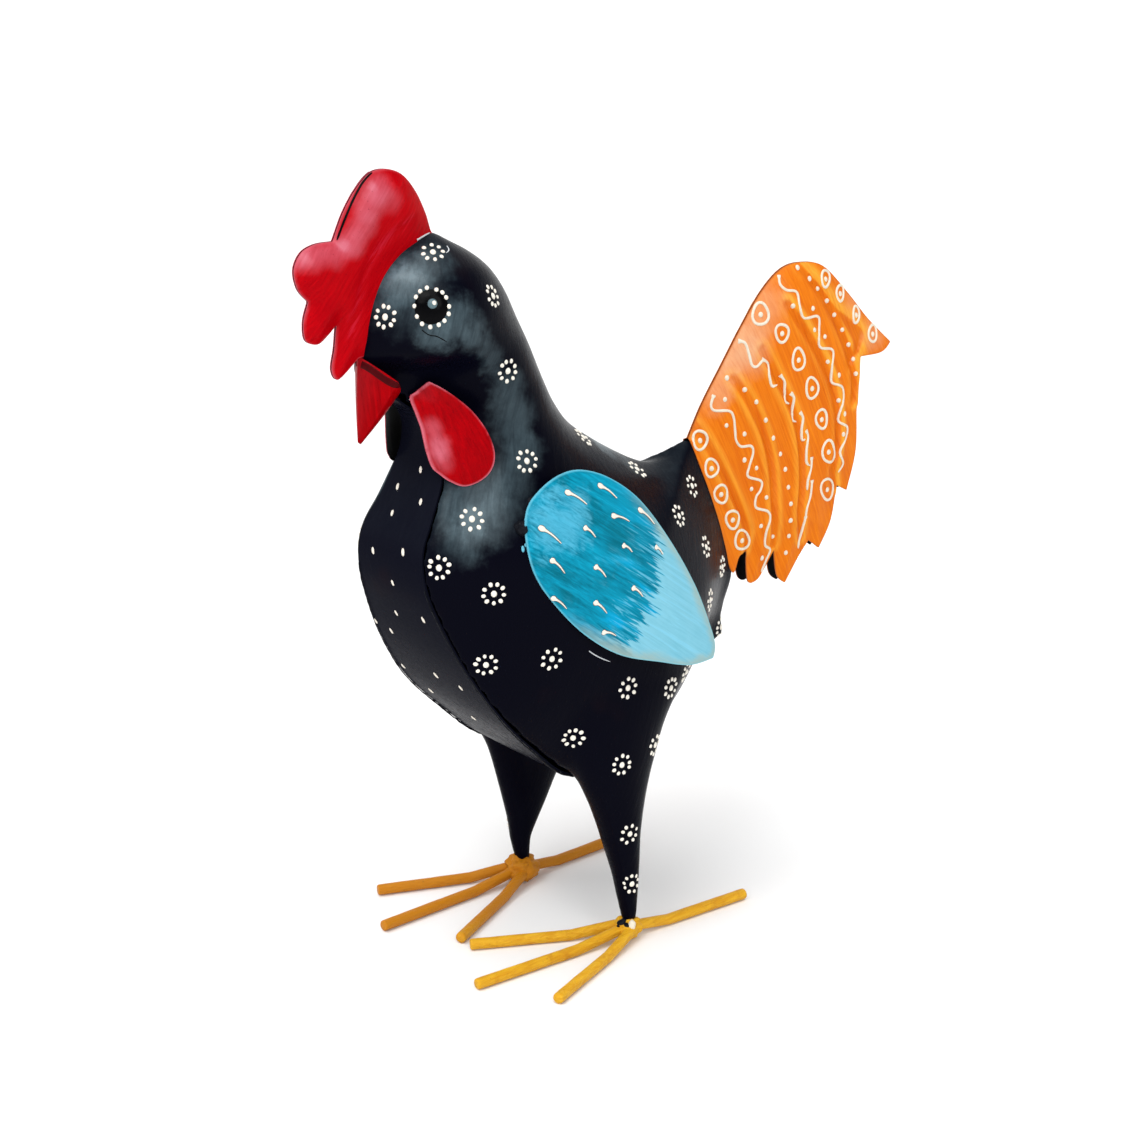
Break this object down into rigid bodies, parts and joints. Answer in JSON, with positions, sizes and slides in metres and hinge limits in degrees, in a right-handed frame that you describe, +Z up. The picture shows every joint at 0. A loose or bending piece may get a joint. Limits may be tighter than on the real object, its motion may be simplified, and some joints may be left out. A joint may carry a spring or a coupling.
{
  "type": "rooster ornament",
  "caption": "Free-standing sheet-metal rooster: hollow pressed body and legs, flat breast strip, dished comb, beak, wattles, wings and feathered tail, standing on splayed rod toes",
  "frame": {"origin": "on the floor, under the middle of the overall box", "axes": "+Z up, the beak towards -X, the bird's left side towards -Y and its right side towards +Y"},
  "size_m": [0.3996, 0.1664, 0.421],
  "materials": {
    "body_black": "semi-gloss black lacquer brushed by hand, with raised cream dots",
    "breast_black": "satin blue-black lacquer, with raised cream dots",
    "comb_red": "gloss red enamel, worn pale at the edges",
    "wing_blue": "brushed blue enamel that fades to pale blue at the tip",
    "tail_orange": "brushed orange enamel with raised cream patterns",
    "foot_yellow": "thin yellow enamel over rod, dirtied in the brush marks"
  },
  "bodies": {
    "root": {"left_side_shell": "body_black", "right_side_shell": "body_black", "left_comb_half": "comb_red", "right_comb_half": "comb_red", "left_wattle": "comb_red", "right_wattle": "comb_red", "left_wing": "wing_blue", "right_wing": "wing_blue", "left_wing_weld": "body_black", "right_wing_weld": "body_black", "left_tail_half": "tail_orange", "right_tail_half": "tail_orange", "left_middle_toe": "foot_yellow", "right_middle_toe": "foot_yellow", "left_inner_toe": "foot_yellow", "right_inner_toe": "foot_yellow", "left_outer_toe": "foot_yellow", "right_outer_toe": "foot_yellow", "left_rear_toe": "foot_yellow", "right_rear_toe": "foot_yellow", "left_ankle_weld": "foot_yellow", "right_ankle_weld": "foot_yellow", "breast_strip": "breast_black", "beak": "comb_red"}
  },
  "joints": []
}
